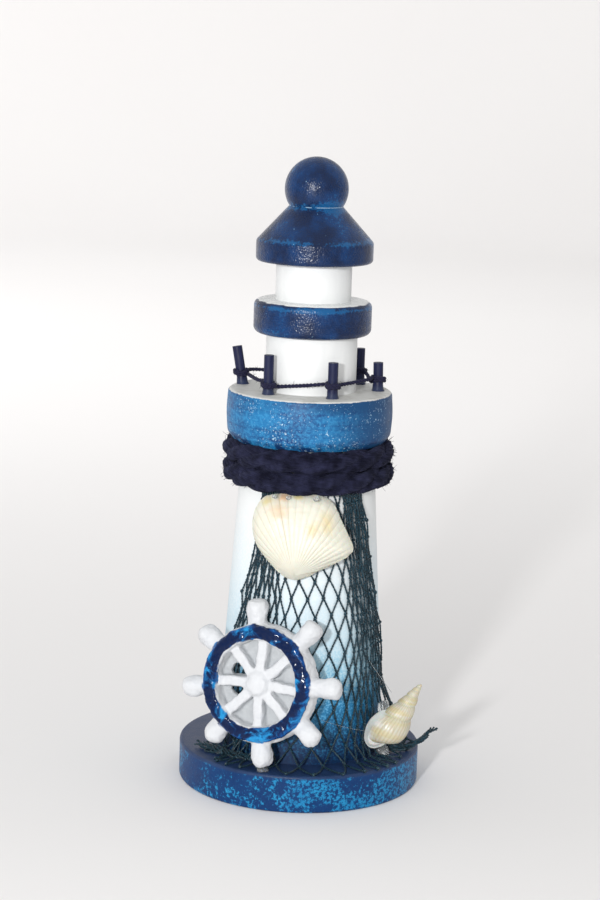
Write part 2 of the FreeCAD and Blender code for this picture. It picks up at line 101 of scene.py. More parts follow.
def evenly(points, step):
    """The same line with its points a given step apart, and the run to each."""
    points = np.array(points)
    runs = np.linalg.norm(np.diff(points, axis=0), axis=1)
    along = np.concatenate([[0], np.cumsum(runs)])
    wanted = np.linspace(0, along[-1], max(2, int(along[-1] / step) + 1))
    return wanted, np.stack([np.interp(wanted, along, points[:, k]) for k in range(3)], axis=1)


def carried_frames(points):
    """Two crosswise directions at each point, carried along without twisting."""
    ahead = np.gradient(points, axis=0)
    ahead /= np.linalg.norm(ahead, axis=1)[:, None]
    side = np.cross(ahead[0], [0.1, 0.2, 1.0])
    sides = []
    for direction in ahead:
        side = side - direction * np.dot(side, direction)
        side = side / np.linalg.norm(side)
        sides.append(side)
    sides = np.array(sides)
    return sides, np.cross(ahead, sides)


def laid_up(points, step, count, helix, pitch, start=0.0):
    """Strands laid round a line: their own centrelines, one array for each."""
    along, even = evenly(points, step)
    across, over = carried_frames(even)
    strands = []
    for k in range(count):
        turn = 2 * pi * (k / count + along / pitch) + start
        offset = across * np.cos(turn)[:, None] + over * np.sin(turn)[:, None]
        strands.append(even + offset * helix)
    return strands


def drawn_out(name, lines, radius, roundness=1, taper=None):
    """One mesh of round yarns that follow the lines, each with its ends capped."""
    curve = bpy.data.curves.new(name, "CURVE")
    curve.dimensions = "3D"
    curve.bevel_depth = radius
    curve.bevel_resolution = roundness
    curve.use_fill_caps = True
    for line in lines:
        spline = curve.splines.new("POLY")
        spline.points.add(len(line) - 1)
        spline.points.foreach_set("co", np.column_stack([line, np.ones(len(line))]).ravel())
        if taper is not None:
            spline.points.foreach_set("radius", taper(np.linspace(0, 1, len(line))))
        spline.use_smooth = True
    mesh = bpy.data.meshes.new_from_object(bpy.data.objects.new(name + "_line", curve))
    mesh.name = name
    mesh.shade_smooth()
    return in_scene(name, mesh)


def shade(beside, kind, sockets=None, **settings):
    """Adds a shader node to the tree that another is in; a socket takes a value or an output."""
    tree = beside.id_data
    made = tree.nodes.new(kind)
    for name, value in settings.items():
        setattr(made, name, value)
    for name, value in (sockets or {}).items():
        if isinstance(value, bpy.types.NodeSocket):
            tree.links.new(value, made.inputs[name])
        else:
            made.inputs[name].default_value = value
    return made


def finish_named(name, roughness=0.5, shine=0.5, **surface):
    """A new material, its surface shader, and the place on the piece that it colours."""
    material = bpy.data.materials.new(name)
    material.use_nodes = True
    surface_shader = material.node_tree.nodes["Principled BSDF"]
    surface.update(Roughness=roughness, Specular_IOR_Level=shine)
    for socket, value in surface.items():
        surface_shader.inputs[socket.replace("_", " ")].default_value = value
    return material, surface_shader, shade(surface_shader, "ShaderNodeTexCoord").outputs["Object"]


def grain(where, scale, detail=3.0, roughness=0.5, stretch=None, distortion=0.0):
    """A noise value over the piece, its scale in waves to the metre."""
    if stretch:
        where = shade(where, "ShaderNodeMapping", {"Vector": where, "Scale": stretch}).outputs[0]
    return shade(where, "ShaderNodeTexNoise", {"Vector": where, "Scale": scale, "Detail": detail,
                                               "Roughness": roughness,
                                               "Distortion": distortion}).outputs[0]


def step_up(value, low, high, out_low=0.0, out_high=1.0, kind="SMOOTHSTEP"):
    """A soft step: out_low where the value is under low, out_high above high."""
    return shade(value, "ShaderNodeMapRange",
                 {"Value": value, "From Min": low, "From Max": high, "To Min": out_low,
                  "To Max": out_high}, interpolation_type=kind).outputs[0]


def plus(first, second):
    return shade(first, "ShaderNodeMath", {0: first, 1: second}, operation="ADD").outputs[0]


def minus(first, second):
    return shade(first, "ShaderNodeMath", {0: first, 1: second}, operation="SUBTRACT").outputs[0]


def times(first, second):
    return shade(first, "ShaderNodeMath", {0: first, 1: second}, operation="MULTIPLY").outputs[0]


def blended(factor, first, second):
    """Two colours mixed by a factor."""
    beside = factor if isinstance(factor, bpy.types.NodeSocket) else first
    return shade(beside, "ShaderNodeMix", {0: factor, 6: first, 7: second}, data_type="RGBA").outputs[2]


def coated(surface, colour, roughness=None):
    """Gives the surface its colour and, where it varies, its roughness."""
    surface.id_data.links.new(colour, surface.inputs["Base Color"])
    if roughness is not None:
        surface.id_data.links.new(roughness, surface.inputs["Roughness"])


def bumped(surface, height, distance, strength=1.0):
    """Turns a height into the surface's own bump."""
    bump = shade(height, "ShaderNodeBump", {"Height": height, "Distance": distance,
                                            "Strength": strength})
    surface.id_data.links.new(bump.outputs[0], surface.inputs["Normal"])


rope_low, rope_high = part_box("rope_wrap")
rope_half_height = 2.8 * mm
rope_half_depth = 2.4 * mm
rope_reach = rope_high.x - rope_half_depth
rope_upper_z = rope_high.z - rope_half_height + 0.3 * mm
rope_lower_z = rope_low.z + rope_half_height + 0.25 * mm
rope_points_a_turn = 18
rope_step = 0.75 * mm
rope_lay = 26 * mm
strand_helix = 1.22 * mm
yarn_lay = 17 * mm
yarn_helix = 1.16 * mm
yarns_a_strand = 9
rope_hair_count = 7600
# the share of the first turn at which the rope drops to the second, and how soon
drop_from, drop_share = 0.93, 0.14

rope_route = []
for i in range(2 * rope_points_a_turn - 1):
    turns = (i + 0.5) / rope_points_a_turn
    angle = 2 * pi * turns + pi / 2
    drop = min(1, max(0, (turns - drop_from) / drop_share))
    slack = 0.1 * mm * sin(5.1 * angle)
    height = rope_upper_z + (rope_lower_z - rope_upper_z) * drop + 0.04 * mm * sin(2.3 * angle)
    rope_route.append(Vector((cos(angle) * (rope_reach + slack),
                              sin(angle) * (rope_reach + slack), height)))
rope_line = route("rope_route", rope_route)

rope_strands = laid_up(rope_line, rope_step, 3, strand_helix, -rope_lay)
rope_yarns = []
for k, strand in enumerate(rope_strands):
    rope_yarns += laid_up(strand, rope_step, yarns_a_strand, yarn_helix, yarn_lay, start=k * 0.7)
    rope_yarns.append(strand)
for k, yarn in enumerate(rope_yarns):
    stray = np.arange(len(yarn))[:, None] * np.array([[0.37, 0.29, 0.33]]) + k * 1.7
    yarn += np.sin(stray) * 0.13 * mm
    reach = np.hypot(yarn[:, 0], yarn[:, 1])
    pressed = rope_reach + (reach - rope_reach) * rope_half_depth / rope_half_height
    yarn[:, :2] *= (pressed / reach)[:, None]


def yarn_ends(share):
    return 1.1 - 0.35 * np.exp(-share * 90) - 0.35 * np.exp((share - 1) * 90)


rope = drawn_out("rope_collar", rope_yarns, 0.58 * mm, 1, yarn_ends)

def any_way():
    """A random vector, each part of it between -1 and 1."""
    return Vector([random.uniform(-1, 1) for _ in range(3)])


rope_hairs = []
for _ in range(rope_hair_count):
    yarn = random.choice(rope_yarns)
    at = random.randrange(6, len(yarn) - 8)
    root = Vector(yarn[at])
    run = Vector(yarn[at + 5] - yarn[at]).normalized() * random.choice((-1, 1))
    off = Vector((root.x, root.y, 0)).normalized() * random.uniform(0.1, 1)
    off += Vector((0, 0, random.uniform(-1, 1))) * 0.9
    length = random.uniform(0.7, 1.9) * mm if random.random() < 0.985 else random.uniform(2.0, 2.8) * mm
    bend = any_way() * 0.35
    rope_hairs.append([root, root + (run + off * 0.35) * length * 0.5,
                       root + (run * 0.8 + off * 0.6 + bend) * length])
rope_fuzz = drawn_out("rope_fuzz", rope_hairs, 0.06 * mm, 0, lambda share: 1 - 0.6 * share)

rope_yarn, surface, place = finish_named("rope_yarn", 0.95, 0.08, Sheen_Weight=0.12,
                                         Sheen_Roughness=0.5, Sheen_Tint=(0.3, 0.33, 0.55, 1))
fibres = grain(place.node.outputs["UV"], 60, 4, 0.6, stretch=(0.08, 1.4, 1))
mottle = grain(place, 420, 3)
coated(surface, blended(step_up(plus(fibres, mottle), 0.75, 1.35), (0.003, 0.003, 0.009, 1),
                        (0.027, 0.029, 0.066, 1)))
bumped(surface, plus(fibres, grain(place, 5200, 2)), 0.12 * mm)
for piece in (rope, rope_fuzz):
    piece.data.materials.append(rope_yarn)
    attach(piece, "root")
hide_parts("rope_wrap")


# ---- Railing cord ----
# One thin two-ply navy cord, tied from post to post round the gallery with a
# hitch at each, taut at the front and a little slack beside the slanted post.
gallery_low, gallery_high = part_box("gallery_disc")
deck = gallery_high.z
post_names = ["railing_post_" + side for side in (
    "back_left", "left", "front_left", "front_right", "right", "back_right")]
knot_heights = [3.0 * mm, 2.9 * mm, 2.3 * mm, 3.0 * mm, 2.9 * mm, 3.3 * mm]
hitch_radius = 1.56 * mm
hitch_turns = 2


def corners_of(name):
    return np.array([vertex.co[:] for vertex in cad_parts[name].data.vertices])


def post_line(name):
    """The middle of a post's two ends, lower first."""
    corners = corners_of(name)
    low_end = corners[corners[:, 2] < corners[:, 2].min() + 0.8 * mm]
    high_end = corners[corners[:, 2] > corners[:, 2].max() - 0.8 * mm]
    return Vector((low_end.min(0) + low_end.max(0)) / 2), Vector((high_end.min(0) + high_end.max(0)) / 2)


def post_point(name, z):
    low_end, high_end = post_line(name)
    return low_end.lerp(high_end, (z - low_end.z) / (high_end.z - low_end.z))


post_spots = [post_point(name, deck + height) for name, height in zip(post_names, knot_heights)]
cord_route = []
for i, spot in enumerate(post_spots):
    before = spot - post_spots[i - 1]
    after = post_spots[(i + 1) % len(post_spots)] - spot
    start_angle = atan2(-before.x, before.y)
    bend = (atan2(after.y, after.x) - atan2(before.y, before.x)) % (2 * pi)
    sweep = bend + 2 * pi * hitch_turns
    steps = 9 * hitch_turns + 2
    for k in range(steps + 1):
        share = k / steps
        angle = start_angle + pi + sweep * share
        crossing = 0.5 + 0.5 * cos(2 * pi * (share * hitch_turns - 0.75))
        reach = hitch_radius + 0.12 * mm * crossing
        fall = (0.5 - share) * 1.15 * mm + 0.14 * mm * sin(angle * 2 + i)
        cord_route.append(spot + Vector((cos(angle) * reach, sin(angle) * reach, fall)))
    leaving = cord_route[-1]
    next_spot = post_spots[(i + 1) % len(post_spots)]
    sag = (0.2, 0.15, 0.12, 0.1, 0.7, 0.3)[i] * mm
    for share in (0.22, 0.5, 0.78):
        hang = leaving.lerp(next_spot + Vector((after.y, -after.x, 0)).normalized() * hitch_radius
                            + Vector((0, 0, 0.75 * mm)), share)
        cord_route.append(hang - Vector((0, 0, sag * 4 * share * (1 - share))))
cord_line = route("railing_cord_route", cord_route, closed=True)
cord_plies = laid_up(cord_line, 0.28 * mm, 2, 0.2 * mm, 1.9 * mm)
railing = drawn_out("railing_cord_laid", cord_plies, 0.31 * mm, 1)

cord_hairs = []
for _ in range(420):
    ply = random.choice(cord_plies)
    root = Vector(random.choice(ply))
    way = any_way().normalized()
    length = random.uniform(0.5, 1.3) * mm
    cord_hairs.append([root, root + way * length * 0.6,
                       root + way * length + Vector((0, 0, random.uniform(-0.3, 0.2) * mm))])
railing_fuzz = drawn_out("railing_cord_fuzz", cord_hairs, 0.025 * mm, 0)

navy_cord, surface, place = finish_named("navy_cord", 0.7, 0.16, Sheen_Weight=0.08, Sheen_Roughness=0.4)
fibres = grain(place, 2600, 3)
coated(surface, blended(fibres, (0.006, 0.006, 0.02, 1), (0.022, 0.022, 0.062, 1)))
bumped(surface, fibres, 0.08 * mm)
for piece in (railing, railing_fuzz):
    piece.data.materials.append(navy_cord)
    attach(piece, "root")
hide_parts("railing_cord", "railing_hitches")


# ---- Base disc ----
# A turned wooden disc, brushed matt navy all over; its edge is then dabbed
# with bright blue from a sponge. It carries everything else.
def tint(red, green, blue):
    """A paint colour as its card gives it, 0 to 255."""
    return tuple((part / 255) ** 2.2 for part in (red, green, blue)) + (1,)


def part_of(vector, axis):
    return shade(vector, "ShaderNodeSeparateXYZ", {"Vector": vector}).outputs[axis]


def wears(material, *names):
    """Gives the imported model's own nodes their finish."""
    for name in names:
        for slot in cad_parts[name].material_slots:
            slot.material = material


base_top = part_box("base_disc")[1].z

base_paint, surface, place = finish_named("base_paint", shine=0.25)
height = part_of(place, "Z")
dab_areas = step_up(grain(place, 105, 4, 0.65), 0.4, 0.56)
dabs = grain(place, 1350, 5, 0.7)
on_edge = step_up(height, base_top - 1.1 * mm, base_top - 0.35 * mm, 1, 0)
dab_share = times(step_up(plus(dabs, times(dab_areas, 0.15)), 0.6, 0.71), on_edge)
clouds = grain(place, 160, 3)
navy = blended(clouds, tint(2, 44, 88), tint(8, 62, 114))
# Painted sheen: the top is given a greyer navy than the side, standing in for the sheen that light lays on
# it.
top_navy_with_sheen = blended(clouds, tint(28, 44, 74), tint(46, 68, 106))
bright = blended(grain(place, 420, 3), tint(10, 96, 150), tint(44, 148, 198))
coated(surface, blended(dab_share, blended(on_edge, top_navy_with_sheen, navy), bright),
       step_up(clouds, 0.3, 0.7, 0.34, 0.46))
bumped(surface, plus(dabs, grain(place, 3500, 2)), 0.08 * mm, 0.6)
wears(base_paint, "base_disc")


# ---- Tower ----
# A tapered wooden body, painted white, then sprayed with blue from the foot
# up: navy at the base, fading in fine speckle to white at half its height.
def coloured_by(value, stops):
    """A colour read off a row of (value, colour) stops."""
    ramp = shade(value, "ShaderNodeValToRGB", {"Fac": value})
    ramp.color_ramp.elements[0].position, ramp.color_ramp.elements[0].color = stops[0]
    ramp.color_ramp.elements[1].position, ramp.color_ramp.elements[1].color = stops[-1]
    for position, colour in stops[1:-1]:
        ramp.color_ramp.elements.new(position).color = colour
    return ramp.outputs["Color"]


tower_low, tower_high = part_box("tower_body")
spray_foot = tower_low.z
spray_reach = 58 * mm

tower_paint, surface, place = finish_named("tower_paint", 0.5, 0.3)
height = part_of(place, "Z")
speckle = step_up(grain(place, 1900, 2, 0.6), 0.4, 0.66, -0.5, 0.5)
drift = minus(grain(place, 75, 3), 0.5)
spray = plus(times(speckle, 6.5 * mm), times(drift, 12 * mm))
up_share = step_up(plus(height, spray), spray_foot, spray_foot + spray_reach, kind="LINEAR")
spray_tints = [(0.0, 12, 42, 76), (0.06, 18, 56, 92), (0.13, 34, 92, 130), (0.2, 46, 122, 168),
               (0.28, 92, 160, 200), (0.36, 152, 196, 216), (0.48, 190, 216, 228),
               (0.7, 214, 227, 233), (1.0, 232, 235, 235)]
coated(surface, coloured_by(up_share, [(share, tint(*colour)) for share, *colour in spray_tints]))
bumped(surface, plus(grain(place, 2400, 2), grain(place, 260, 3, stretch=(1, 1, 0.25))), 0.05 * mm, 0.5)
wears(tower_paint, "tower_body")


# ---- Gallery disc ----
# A thick turned disc with a bellied side: white first, then its side brushed
# mid blue on the lathe and sanded through in specks. Its top stays white and
# has gone dingy.
gallery_paint, surface, place = finish_named("gallery_paint", shine=0.3)
height, across = part_of(place, "Z"), part_of(place, "X")
lathe_lines = grain(place, 900, 3, 0.6, stretch=(0.06, 0.06, 1))
clouds = grain(place, 110, 4, 0.6)
blue = blended(step_up(plus(lathe_lines, clouds), 0.75, 1.25), tint(8, 64, 116), tint(32, 112, 166))
shaded_shoulder = step_up(plus(height, times(clouds, 3 * mm)), deck - 2.2 * mm, deck - 0.2 * mm)
mealy = grain(place, 1300, 4, 0.75)
blue = blended(step_up(mealy, 0.44, 0.6, 0, 0.5), blue, tint(62, 146, 196))
# Painted shade: the right side, and the top shoulder most on the right, are given darker blue, on the side
# turned away from the light.
shaded_right_side = step_up(plus(across, times(clouds, 8 * mm)), 6 * mm, 20 * mm, 0, 0.85)
blue = blended(shaded_right_side, blue, tint(20, 62, 104))
blue = blended(times(shaded_shoulder, step_up(across, -8 * mm, 10 * mm, 0.25, 0.9)), blue, tint(18, 66, 108))
# Darker blue towards the bottom edge, in blotches.
tinted_patch = times(step_up(height, gallery_low.z + 0.8 * mm, gallery_low.z + 3.4 * mm, 1, 0),
              step_up(grain(place, 320, 3), 0.44, 0.56))
blue = blended(tinted_patch, blue, tint(18, 50, 92))
worn_areas = step_up(grain(place, 130, 3), 0.4, 0.66)
flecks = step_up(plus(grain(place, 2100, 4, 0.7), times(worn_areas, 0.08)), 0.655, 0.7)
bright_flecks = blended(grain(place, 500, 2), tint(84, 170, 212), tint(228, 238, 242))
side = blended(flecks, blue, bright_flecks)
dirt = step_up(grain(place, 240, 5, 0.65), 0.45, 0.75)
dingy = blended(dirt, tint(214, 214, 210), tint(186, 184, 177))
lip = plus(height, times(grain(place, 700, 4, 0.7), 0.5 * mm))
on_top = step_up(lip, deck - 0.1 * mm, deck + 0.04 * mm)
coated(surface, blended(on_top, side, dingy), step_up(clouds, 0.3, 0.7, 0.4, 0.58))
bumped(surface, plus(lathe_lines, flecks), 0.06 * mm, 0.6)
wears(gallery_paint, "gallery_disc")


# ---- Lantern room ----
# Two white drums with a navy ring between them. The ring was painted by hand,
# so white shows on its top face, where the brush stopped short.
drum_paint, surface, place = finish_named("drum_paint", 0.55, 0.25)
brushing = grain(place, 420, 4, 0.6, stretch=(1, 1, 0.2))
coated(surface, blended(brushing, tint(220, 222, 222), tint(234, 235, 234)))
bumped(surface, plus(brushing, grain(place, 2200, 2)), 0.05 * mm, 0.5)
wears(drum_paint, "lower_lantern_drum", "upper_lantern_drum")

roof_low, roof_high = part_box("roof_cap")
ring_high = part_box("lantern_ring")[1]
rubbed_heights = [(ring_high.z - 1.2 * mm, 1.2 * mm), (roof_low.z + 5.4 * mm, 1.3 * mm),
                  (roof_high.z, 2.2 * mm)]


def gap(first, second):
    """How far apart two values are."""
    return shade(first, "ShaderNodeMath", {0: minus(first, second)}, operation="ABSOLUTE").outputs[0]


def worn_bands(height):
    """One where sanding caught an edge or a joint, none elsewhere."""
    total = 0.0
    for middle, half in rubbed_heights:
        total = plus(step_up(gap(height, middle), 0.0, half, 1, 0), total)
    return total


def navy_gloss(name, streaks_along):
    """Semi-gloss navy over turned wood, rubbed brighter and specked with dust."""
    material, surface, place = finish_named(name, shine=0.36)
    height = part_of(place, "Z")
    clouds = grain(place, 120, 4, 0.6)
    wood = grain(place, 700, 4, 0.6, stretch=streaks_along)
    coat = blended(step_up(clouds, 0.35, 0.65), tint(0, 30, 62), tint(4, 52, 98))
    rubbed = plus(plus(clouds, times(worn_bands(height), 0.24)), times(grain(place, 1500, 4, 0.75), 0.8))
    coat = blended(step_up(rubbed, 1.02, 1.15, 0, 0.85), coat, tint(20, 86, 136))
    dust = step_up(grain(place, 1500, 2, 0.5), 0.76, 0.79)
    coat = blended(dust, coat, tint(150, 190, 216))
    bare_seam = times(step_up(gap(height, roof_high.z), 0.05 * mm, 0.13 * mm, 1, 0),
                      step_up(grain(place, 420, 2), 0.5, 0.56))
    coat = blended(bare_seam, coat, tint(150, 176, 196))
    coated(surface, coat, step_up(wood, 0.3, 0.7, 0.2, 0.34))
    orange_peel = grain(place, 2300, 1, 0.4)
    bumped(surface, plus(orange_peel, times(wood, 0.3)), 0.16 * mm, 0.8)
    return material, surface, place, coat


def length_of(vector, stretch):
    """How long a vector is, once each of its parts is multiplied by its stretch."""
    stretched = shade(vector, "ShaderNodeVectorMath", {0: vector, 1: stretch}, operation="MULTIPLY")
    return shade(vector, "ShaderNodeVectorMath", {0: stretched.outputs[0]},
                 operation="LENGTH").outputs["Value"]


ring_paint, surface, place, coat = navy_gloss("ring_paint", (0.1, 0.1, 1))
wobble = times(minus(grain(place, 200, 3), 0.5), 1.6 * mm)
stopped_short = step_up(plus(length_of(place, (1, 1, 0)), wobble), ring_high.x - 0.9 * mm,
                        ring_high.x - 0.5 * mm, 1, 0)
on_top = step_up(part_of(place, "Z"), ring_high.z - 0.45 * mm, ring_high.z - 0.3 * mm)
coated(surface, blended(times(stopped_short, on_top), coat, tint(232, 233, 231)))
wears(ring_paint, "lantern_ring")


# ---- Roof and ball ----
# A brimmed cone and a wooden ball, both navy, glued on a pin. The dowels that
# line the stack up are plain birch and are out of sight.
roof_paint = navy_gloss("roof_paint", (1, 1, 0.12))[0]
wears(roof_paint, "roof_cap", "finial_ball")

dowel_wood, surface, place = finish_named("dowel_wood", 0.65)
fibres = grain(place, 900, 4, 0.6, stretch=(1, 1, 0.06))
coated(surface, blended(fibres, tint(196, 160, 116), tint(226, 198, 158)))
bumped(surface, fibres, 0.05 * mm)
wears(dowel_wood, "base_dowel", "stack_dowel", "finial_dowel")


# ---- Railing posts ----
# Short lengths of thin dowel, dipped navy and pushed into holes in the deck.
# Paint and glue have crept up round each foot in a flare.
post_paint, surface, place = finish_named("post_paint", shine=0.25)
fibres = grain(place, 1600, 4, 0.65, stretch=(1, 1, 0.08))
coat = blended(fibres, tint(14, 16, 38), tint(40, 46, 82))
paint_line = plus(part_of(place, "Z"), times(grain(place, 900, 3), 1.2 * mm))
creep = step_up(paint_line, deck + 1.2 * mm, deck + 2.6 * mm)
coated(surface, blended(creep, tint(46, 54, 80), coat), step_up(fibres, 0.3, 0.7, 0.38, 0.6))
bumped(surface, fibres, 0.08 * mm, 0.7)
wears(post_paint, *post_names)


def turned(profile, steps, closed=False, unit=mm):
    """A profile of (radius, height) spun about the upright axis."""
    shape = bmesh.new()
    knots = [shape.verts.new((radius * unit, 0, rise * unit)) for radius, rise in profile]
    edges = [shape.edges.new(pair) for pair in zip(knots, knots[1:])]
    if closed:
        edges.append(shape.edges.new((knots[-1], knots[0])))
    bmesh.ops.spin(shape, geom=knots + edges, cent=(0, 0, 0), axis=(0, 0, 1),
                   angle=2 * pi, steps=steps, use_merge=True)
    bmesh.ops.remove_doubles(shape, verts=shape.verts, dist=0.001 * mm)
    bmesh.ops.recalc_face_normals(shape, faces=shape.faces)
    return shape


def added(whole, part, place_at=Matrix()):
    """Sets a part in its place and adds it to the whole."""
    bmesh.ops.transform(part, matrix=place_at, verts=part.verts)
    carrier = bpy.data.meshes.new("carrier")
    part.to_mesh(carrier)
    part.free()
    whole.from_mesh(carrier)
    bpy.data.meshes.remove(carrier)


def roughened(shape, depth, waves, seed=0.0):
    """Moves each point in or out by a soft noise, as a hand-made surface is."""
    shape.normal_update()
    moves = [vertex.normal * depth * noise.noise(vertex.co * waves + Vector((seed, 0, seed)))
             for vertex in shape.verts]
    for vertex, move in zip(shape.verts, moves):
        vertex.co += move


def smooth_object(name, shape, material):
    """Puts the shape in the scene, smooth-shaded and in one material."""
    mesh = bpy.data.meshes.new(name)
    shape.to_mesh(mesh)
    shape.free()
    mesh.shade_smooth()
    mesh.materials.append(material)
    return in_scene(name, mesh)


def finished(name, shape, material, slot, *replaced):
    """Makes the shape a piece that rides on the body."""
    piece = smooth_object(name, shape, material)
    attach(piece, "root")
    if replaced:
        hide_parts(*replaced)
    return piece


foot_profile = [(1.12, 0.0), (1.6, 0.0), (1.58, 0.12), (1.46, 0.34), (1.36, 0.8), (1.29, 1.4),
                (1.25, 2.1), (1.2, 2.3), (1.12, 2.3)]
post_feet = bmesh.new()
for i, name in enumerate(post_names):
    foot_at, head_at = post_point(name, deck), post_point(name, deck + 2 * mm)
    flare = turned(foot_profile, 20, closed=True)
    for vertex in flare.verts:
        side = foot_at.lerp(head_at, vertex.co.z / (2 * mm))
        swell = 1 + 0.09 * noise.noise(vertex.co * 900 + Vector((i * 3.1, 0, 0)))
        vertex.co = Vector((vertex.co.x * swell + side.x, vertex.co.y * swell + side.y, side.z))
    added(post_feet, flare)
finished("post_foot_flares", post_feet, post_paint, "post_paint", "post_feet")


# ---- Fishing net ----
# A piece of knotted diamond-mesh netting in dark teal nylon twine. Its top is
# tucked under the rope, its sides bunch up, and its foot spreads on the base
# with both ends rolled into loose tails.
net_columns = 44
net_rows = 16
net_step = 4.6 * mm
net_off_tower = 0.34 * mm
net_on_base = 0.3 * mm
net_bend = 3 * mm
net_top = rope_low.z + 2.3 * mm
ply_radius = 0.17 * mm
ply_helix = 0.11 * mm
twine_lay = 1.5 * mm
twine_step = 0.5 * mm
knot_radius = 0.48 * mm

# azimuths of four of its columns at six heights above the base's underside
gathered_at = (0.0, 0.38, 0.58, 1.0)
net_spread = [(0.0, (-80, -30, 32, 96)), (12.0 * mm, (-78, -28, 32, 94)),
              (39.0 * mm, (-60, -20, 37, 80)), (47.0 * mm, (-53, -16, 37, 69)),
              (60.0 * mm, (-43.6, -18, 33, 60)), (77.5 * mm, (-38, -20, 29, 49))]

tower_corners = corners_of("tower_body")
tower_reaches = np.hypot(tower_corners[:, 0], tower_corners[:, 1])
tower_foot = tower_reaches.max()
tower_head = tower_reaches[tower_corners[:, 2] > tower_high.z - 0.1 * mm].max()


def tower_radius(z):
    share = (z - tower_low.z) / (tower_high.z - tower_low.z)
    return tower_foot + share * (tower_head - tower_foot)


def outward(azimuth):
    """The level direction that faces an azimuth: 0 is the front, + to the right."""
    angle = radians(azimuth)
    return Vector((sin(angle), -cos(angle), 0))


def spot_at(azimuth, reach, z):
    return outward(azimuth) * reach + Vector((0, 0, z))


net_floor = base_top + net_on_base
bend_z = net_floor + net_bend
fall_line = [(tower_radius(net_top) + net_off_tower, net_top),
             (tower_radius(bend_z) + net_off_tower, bend_z)]
for k in range(1, 7):
    angle = pi / 2 * k / 6
    fall_line.append((tower_radius(bend_z) + net_off_tower + net_bend * (1 - cos(angle)),
                      bend_z - net_bend * sin(angle)))
fall_line.append((fall_line[-1][0] + 12 * mm, net_floor))
fall_line = np.array(fall_line)
fall_run = np.concatenate([[0], np.cumsum(np.linalg.norm(np.diff(fall_line, axis=0), axis=1))])

net_levels = np.array([level for level, _ in net_spread])
net_azimuths = np.array([azimuths for _, azimuths in net_spread])
smoothing = np.hanning(7) / np.hanning(7).sum()


def net_row_azimuths(z):
    """The azimuth of every column at a height, with soft changes of spacing."""
    marks = [np.interp(z, net_levels, net_azimuths[:, k]) for k in range(4)]
    columns = np.arange(-3, net_columns + 4) / net_columns
    spacing = np.interp(columns, gathered_at, marks)
    spacing[columns < 0] = marks[0] + (columns[columns < 0]) * 40
    spacing[columns > 1] = marks[3] + (columns[columns > 1] - 1) * 40
    return np.convolve(spacing, smoothing, mode="valid")


rolled_left = [(-11.0, -19.6, 0.9), (-15.5, -17.8, 1.0), (-20.5, -13.8, 1.0), (-24.4, -9.9, 0.85)]
rolled_right = [(19.6, -10.6, 1.0), (25.7, -7.7, 1.0), (29.1, -6.0, 1.4), (31.6, -5.4, 3.0),
                (33.3, -5.2, 5.0)]


def gathered_in(spot, column, row):
    """Draws the two lower corners of the net in towards its rolled ends."""
    left = max(0, 1 - column / 11)
    right = max(0, 1 - (net_columns - column) / 11)
    pull = min(1, max(0, (row - net_rows + 5) / 4)) * min(1, 2 * max(left, right))
    tail, along = (rolled_left, 0.1 + 0.75 * left) if left > right else (rolled_right, 0.55 * right)
    along += random.uniform(-0.16, 0.16)
    stops = np.array(tail) * mm + np.array([0, 0, base_top])
    target = [np.interp(along, np.linspace(0, 1, len(stops)), stops[:, k]) for k in range(3)]
    target = Vector(target) + any_way() * mm
    target.z = max(target.z, net_floor)
    return spot.lerp(target, pull * 0.96)


net_knots = {}
for row in range(net_rows + 1):
    for column in range(net_columns + 1):
        wander = Vector((column * 0.31, row * 0.45, 0))
        slip = noise.noise_vector(wander) * 0.55 + noise.noise_vector(wander * 4.1) * 0.35
        down = max(0, row + slip.y * 0.4) * net_step
        reach = float(np.interp(down, fall_run, fall_line[:, 0]))
        z = float(np.interp(down, fall_run, fall_line[:, 1]))
        azimuths = net_row_azimuths(z)
        azimuth = azimuths[column] + degrees(slip.x * 0.9 * mm / reach)
        crowding = 1 - min(1, abs(azimuths[min(column + 1, net_columns)]
                                  - azimuths[max(column - 1, 0)]) / 7)
        lift = crowding * (0.5 + 0.5 * sin(column * 2.4 + row * 1.3)) * 0.8 * mm
        if reach > tower_foot + net_bend:
            lift = 0
            reach += (0.6 + 1.6 * max(0, sin(radians(azimuth)))) * mm * (row / net_rows)
        spot = spot_at(azimuth, reach + lift, z)
        net_knots[column, row] = gathered_in(spot, column, row)


def hugging(point):
    """Keeps a point outside the tower's face and above the base."""
    clear = tower_radius(point.z) + net_off_tower
    level = Vector((point.x, point.y, 0))
    if level.length < clear:
        point = point + level.normalized() * (clear - level.length)
    point.z = max(point.z, net_floor)
    return point


net_lines = []
for strand in range(net_columns):
    line = []
    stops = [net_knots[strand + (row + strand) % 2, row] for row in range(net_rows + 1)]
    for row in range(net_rows):
        start, stop = stops[row], stops[row + 1]
        bow = Vector((random.uniform(-1, 1), random.uniform(-1, 0.4), random.uniform(-1, 1)))
        bow = bow * random.uniform(0, 0.3) * mm
        if row == net_rows - 1:
            bow = Vector((stop.x, stop.y, 0)).normalized() * 1.1 * mm
        for k in range(9):
            share = k / 9
            line.append(hugging(start.lerp(stop, share) + bow * sin(pi * share)))
    line.append(stops[-1])
    net_lines.append(line)

net_plies = []
for line in net_lines:
    net_plies += laid_up(line, twine_step, 2, ply_helix, twine_lay, start=random.uniform(0, 6))

